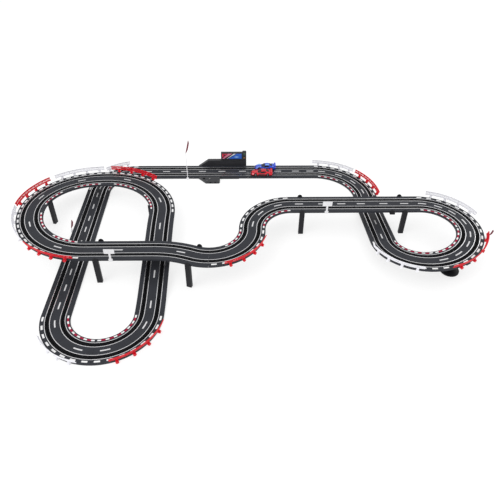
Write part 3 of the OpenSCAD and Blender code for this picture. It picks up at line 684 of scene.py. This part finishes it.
def cabin_surface(u, v):
    """Greenhouse: u from the foot of the windscreen to the tail of the rear window."""
    x = CABIN_X0 + (CABIN_X1 - CABIN_X0) * u
    base = 16.4
    roof = mix_points(u, [
        (0, base + 0.4), (0.16, 22.0), (0.34, 28.0), (0.52, 29.1), (0.66, 27.8), (0.86, 22.6),
        (1, base + 1.4),
    ])
    half = mix_points(u, [(0, 14.0), (0.2, 17.0), (0.5, 17.6), (0.8, 16.2), (1, 13.4)])
    angle = v * math.pi / 2
    across = math.copysign(abs(math.sin(angle)) ** 0.62, v) if v else 0.0
    rise = max(0.0, math.cos(angle)) ** 0.55
    lean = 1 - 0.16 * rise * abs(across)
    return Vector((x, half * across * lean, base + (roof - base) * rise))


def surface_normal(surface, u, v):
    e = 0.004
    du = surface(min(u + e, 1), v) - surface(max(u - e, 0), v)
    dv = surface(u, min(v + e, 1)) - surface(u, max(v - e, -1))
    n = du.cross(dv)
    return n.normalized() if n.length > 1e-9 else Vector((0, 0, 1))


def patch(bm, place, surface, us, vs, out, thick, steps=(10, 8)):
    """A thin closed slab that lies on part of a surface, standing out from it by `out` mm."""
    nu, nv = steps
    rows = {}
    for side, off in ((0, out), (1, out - thick)):
        for a in range(nu + 1):
            u = us[0] + (us[1] - us[0]) * a / nu
            for b in range(nv + 1):
                v = vs[0] + (vs[1] - vs[0]) * b / nv
                at = surface(u, v)
                n = surface_normal(surface, u, v)
                if n.dot(Vector((0, at.y, max(at.z - 8, 1)))) < 0:
                    n = -n
                rows[side, a, b] = bm.verts.new((place + at + n * off) * MM)
    for a in range(nu):
        for b in range(nv):
            for side in (0, 1):
                corners = ((a, b), (a + 1, b), (a + 1, b + 1), (a, b + 1))
                bm.faces.new([rows[side, p, q] for p, q in corners])
    for a in range(nu):
        for b in (0, nv):
            bm.faces.new((rows[0, a, b], rows[0, a + 1, b], rows[1, a + 1, b], rows[1, a, b]))
    for b in range(nv):
        for a in (0, nu):
            bm.faces.new((rows[0, a, b], rows[0, a, b + 1], rows[1, a, b + 1], rows[1, a, b]))


def cut_arches(obj, place):
    """Round wheel arches, cut through the sides of the body."""
    bm = bmesh.new()
    for x in (FRONT_X, REAR_X):
        for side in (-1, 1):
            turn = Matrix.Rotation(-side * math.pi / 2, 4, "X")
            at = Matrix.Translation((place + Vector((x, side * 12.6, AXLE_Z))) * MM) @ turn
            r = WHEEL_R + 1.1
            turned(bm, at, [(0, 0), (r, 0), (r, 14), (0, 14)], 48)
    bmesh.ops.recalc_face_normals(bm, faces=bm.faces)
    mesh = bpy.data.meshes.new("arch_cutter")
    bm.to_mesh(mesh)
    bm.free()
    cutter = bpy.data.objects.new("arch_cutter", mesh)
    bpy.context.scene.collection.objects.link(cutter)
    mod = obj.modifiers.new("arches", "BOOLEAN")
    mod.operation = "DIFFERENCE"
    mod.solver = "EXACT"
    mod.object = cutter
    apply_modifiers(obj)
    bpy.data.objects.remove(cutter)


def apply_modifiers(obj):
    shown = bpy.context.evaluated_depsgraph_get()
    mesh = bpy.data.meshes.new_from_object(obj.evaluated_get(shown))
    obj.modifiers.clear()
    old = obj.data
    obj.data = mesh
    bpy.data.meshes.remove(old)


def loft(bm, place, surface, nu, nv):
    """An open skin over a surface, with its two ends closed by quads."""
    grid = [
        [bm.verts.new((place + surface(a / nu, 2 * b / nv - 1)) * MM) for b in range(nv + 1)]
        for a in range(nu + 1)
    ]
    for a in range(nu):
        for b in range(nv):
            bm.faces.new((grid[a][b], grid[a + 1][b], grid[a + 1][b + 1], grid[a][b + 1]))
    for row in (grid[0], grid[-1]):
        for b in range(nv // 2 - 1):
            bm.faces.new((row[b], row[b + 1], row[nv - b - 1], row[nv - b]))
        bm.faces.new((row[nv // 2 - 1], row[nv // 2], row[nv // 2 + 1]))


def body_shell(car, place, paint):
    bm = bmesh.new()
    loft(bm, place, hull_surface, 64, 44)
    shell = finish_mesh(f"{car}_body", bm, paint, f"{car}_car", smooth=True)
    solid = shell.modifiers.new("wall", "SOLIDIFY")
    solid.thickness = 1.1 * MM
    solid.offset = -1
    cut_arches(shell, place)
    shell.data.shade_smooth()
    shell.data.set_sharp_from_angle(angle=math.radians(38))
    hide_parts(f"{car}_shell")


def car_glass(car, place):
    bm = bmesh.new()
    loft(bm, place, cabin_surface, 40, 32)
    glass = finish_mesh(f"{car}_canopy", bm, GLASS, f"{car}_car", smooth=True)
    solid = glass.modifiers.new("wall", "SOLIDIFY")
    solid.thickness = 0.9 * MM
    solid.offset = -1
    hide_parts(f"{car}_glazing")


def car_trim(car, place, paint):
    """Roof, pillars and quarters in body colour, then stripe prints, lamps, grilles, blades and shut lines.
    On the blue car the stripe prints are pale and, on the hood and roof, widened: partly livery, partly a
    painted highlight.
    """
    def piece(name, mat, slot, parts):
        bm = bmesh.new()
        for surface, us, vs, out, thick in parts:
            patch(bm, place, surface, us, vs, out, thick)
        finish_mesh(f"{car}_{name}", bm, mat, f"{car}_car", smooth=True)

    def both(surface, us, v0, v1, out, thick):
        return [(surface, us, vs, out, thick) for vs in ((v0, v1), (-v1, -v0))]

    piece("roof", paint, f"{car}_body", [(cabin_surface, (0.32, 0.70), (-0.62, 0.62), 0.35, 0.7)]
          + both(cabin_surface, (0.06, 0.42), 0.50, 0.57, 0.3, 0.6)
          + both(cabin_surface, (0.58, 0.96), 0.48, 0.62, 0.3, 0.6)
          + both(cabin_surface, (0.68, 0.97), 0.61, 0.97, 0.3, 0.6))
    # On the blue car the stripes are pale sky blue and widened on the hood and roof: partly livery stripes,
    # partly a painted highlight.
    highlight_width = 0.12 if car == "blue" else 0.0
    piece("stripes_and_highlights", PRINT_SKY if car == "blue" else PRINT_DARK, "sign_face",
          both(hull_surface, (0.10, 0.31), 0.08, 0.16 + highlight_width, 0.14, 0.3)
          + both(cabin_surface, (0.36, 0.66), 0.10, 0.20 + 2 * highlight_width, 0.45, 0.3)
          + both(hull_surface, (0.84, 0.95), 0.08, 0.16, 0.14, 0.3))
    piece("headlamps", LAMP_CLEAR, "sign_face", both(hull_surface, (0.055, 0.115), 0.50, 0.70, 0.25, 0.6))
    piece("tail_lamps", RED, "red_plastic", both(hull_surface, (0.975, 0.998), 0.55, 0.80, 0.25, 0.6))
    piece("grilles", GLASS, "glazing",
          [(hull_surface, (0.012, 0.045), (-0.40, 0.40), 0.12, 0.5)]
          + both(hull_surface, (0.20, 0.26), 0.34, 0.46, 0.1, 0.4)
          + both(hull_surface, (0.60, 0.66), 0.66, 0.76, 0.1, 0.4))
    piece("side_blades", HOUSING, "chassis", both(hull_surface, (0.33, 0.68), 0.88, 0.99, 0.5, 1.0))
    piece("side_flashes", PRINT_DARK if car == "red" else PRINT_SKY, "chassis",
          both(hull_surface, (0.36, 0.60), 0.70, 0.80, 0.12, 0.3))
    piece("shut_lines", GLASS, "glazing",
          both(hull_surface, (0.345, 0.350), 0.56, 0.86, 0.06, 0.3)
          + both(hull_surface, (0.575, 0.580), 0.56, 0.86, 0.06, 0.3))


def car_wing(car, place, paint):
    at = Matrix.Translation(place * MM)
    bm = bmesh.new()
    blade = [(46.5, 22.4), (48.5, 22.0), (52, 22.4), (55.6, 23.4), (55.4, 23.9), (51.5, 23.4), (48, 23.2)]
    tube(bm, [[(place + Vector((x, y, z))) * MM for x, z in blade] for y in (-18.6, 18.6)])
    for side in (-1, 1):
        box_in(bm, at, (48.6, side * 9 - 0.6, 17.5), (51.8, side * 9 + 0.6, 22.8))
        y = sorted((side * 18.2, side * 19.4))
        box_in(bm, at, (46.6, y[0], 21.4), (55.8, y[1], 24.2))
    wing = finish_mesh(f"{car}_wing", bm, paint, f"{car}_car")
    round_edges(wing, 0.25)


def car_mirrors(car, place, paint):
    bm = bmesh.new()
    profile = [
        (0, -1.4), (0.5, -1.4), (0.5, 1.2), (1.25, 1.4), (1.45, 2.2), (1.1, 3.1), (0, 3.4),
    ]
    for side in (-1, 1):
        turn = Matrix.Rotation(-side * math.pi / 2, 4, "X")
        arm = Matrix.Translation((place + Vector((-9, side * 17.6, 20.2))) * MM) @ turn
        turned(bm, arm, profile, 20)
    finish_mesh(f"{car}_mirrors", bm, paint, f"{car}_car", smooth=True)


def car_splitter(car, place):
    """The flat splitter under the nose, and a finned diffuser under the tail."""
    at = Matrix.Translation(place * MM)
    bm = bmesh.new()
    splitter = [(-56.8, -13), (-53.5, -17.5), (-46, -20.4), (-46, 20.4), (-53.5, 17.5), (-56.8, 13)]
    tube(bm, [[(place + Vector((x, y, z))) * MM for x, y in splitter] for z in (3.7, 4.7)])
    diffuser = [(47, -18), (54.6, -16.5), (54.6, 16.5), (47, 18)]
    tube(bm, [[(place + Vector((x, y, z))) * MM for x, y in diffuser] for z in (4.4, 6.6)])
    for k in range(-3, 4):
        box_in(bm, at, (47.5, k * 4.4 - 0.4, 3.5), (55.2, k * 4.4 + 0.4, 6.0))
    finish_mesh(f"{car}_splitter", bm, HOUSING, f"{car}_car")


def wheels(car, place, end, x):
    """Two tyres with tread grooves, and two dished rims with five spokes each."""
    tyres, rims = bmesh.new(), bmesh.new()
    body = f"{car}_{end}_wheelset"
    r, w = WHEEL_R, WHEEL_W
    for side in (-1, 1):
        turn = Matrix.Rotation(-side * math.pi / 2, 4, "X")
        at = Matrix.Translation((place + Vector((x, side * WHEEL_IN, AXLE_Z))) * MM) @ turn
        tread = [(1.3, 0.2), (5.4, 0.2), (5.6, 0), (r - 0.7, 0), (r - 0.2, 0.35), (r, 0.9)]
        for groove in (2.3, 3.7, 5.1):
            edges = ((0, -0.25), (-0.25, -0.2), (-0.25, 0.2), (0, 0.25))
            tread += [(r + dr, groove + dz) for dr, dz in edges]
        tread += [(r, w - 0.9), (r - 0.2, w - 0.35), (r - 0.7, w), (5.9, w), (5.6, w - 0.25)]
        tread += [(5.5, w - 2.2), (1.3, w - 2.2)]
        ring(tyres, at, tread, 56)
        lip = [(5.0, w - 2.3), (5.7, w - 2.3), (5.75, w - 0.15), (5.45, w - 0.05), (5.25, w - 0.3)]
        ring(rims, at, lip, 48)
        turned(rims, at, [(0, w - 2.3), (1.9, w - 2.3), (1.7, w - 0.9), (1.2, w - 0.6), (0, w - 0.6)], 24)
        for k in range(5):
            spoke = at @ Matrix.Rotation(2 * math.pi * k / 5, 4, "Z")
            box_in(rims, spoke, (1.2, -0.65, w - 2.2), (5.3, 0.65, w - 1.1))
    rubber = finish_mesh(f"{car}_{end}_tyres", tyres, RUBBER, body)
    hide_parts(f"{car}_{end}_wheels")
    alloy = finish_mesh(f"{car}_{end}_rims", rims, RIM, body)
    round_edges(alloy, 0.12)


for _car, (_x, _y) in CAR_AT.items():
    _place = Vector((_x, _y, ROAD_H))
    body_shell(_car, _place, CAR_PAINT[_car])
    car_glass(_car, _place)
    car_trim(_car, _place, CAR_PAINT[_car])
    car_wing(_car, _place, CAR_PAINT[_car])
    car_mirrors(_car, _place, CAR_PAINT[_car])
    car_splitter(_car, _place)
    wheels(_car, _place, "rear", REAR_X)
    wheels(_car, _place, "front", FRONT_X)


# ---------------------------------------------------------------- floor and light

def studio():
    scene = bpy.context.scene
    world = bpy.data.worlds.new("studio")
    world.use_nodes = True
    back = world.node_tree.nodes["Background"]
    back.inputs["Color"].default_value = (1, 1, 1, 1)
    back.inputs["Strength"].default_value = 0.8
    scene.world = world
    scene.view_settings.view_transform = "Standard"
    scene.view_settings.look = "None"

    bm = bmesh.new()
    bmesh.ops.create_grid(bm, x_segments=1, y_segments=1, size=60)
    mesh = bpy.data.meshes.new("floor")
    bm.to_mesh(mesh)
    bm.free()
    floor = bpy.data.objects.new("floor", mesh)
    floor.location = (0, 0, -0.0005)
    scene.collection.objects.link(floor)
    pale = bpy.data.materials.new("floor_pale")
    pale.use_nodes = True
    shader = pale.node_tree.nodes["Principled BSDF"]
    shader.inputs["Base Color"].default_value = (0.35, 0.35, 0.35, 1)
    shader.inputs["Emission Color"].default_value = (1, 1, 1, 1)
    shader.inputs["Emission Strength"].default_value = 0.72
    shader.inputs["Roughness"].default_value = 0.9
    shader.inputs["Specular IOR Level"].default_value = 0.1
    mesh.materials.append(pale)

    def area(name, place, target, size, power):
        data = bpy.data.lights.new(name, "AREA")
        data.shape = "SQUARE"
        data.size = size
        data.energy = power
        lamp = bpy.data.objects.new(name, data)
        lamp.location = place
        lamp.rotation_mode = "QUATERNION"
        lamp.rotation_quaternion = (Vector(target) - Vector(place)).to_track_quat("-Z", "Y")
        scene.collection.objects.link(lamp)

    area("key", (-2.2, -2.4, 3.2), (0.2, -0.6, 0), 2.4, 55)
    area("fill", (3.0, 0.6, 2.6), (0.4, -0.6, 0), 2.4, 30)


studio()
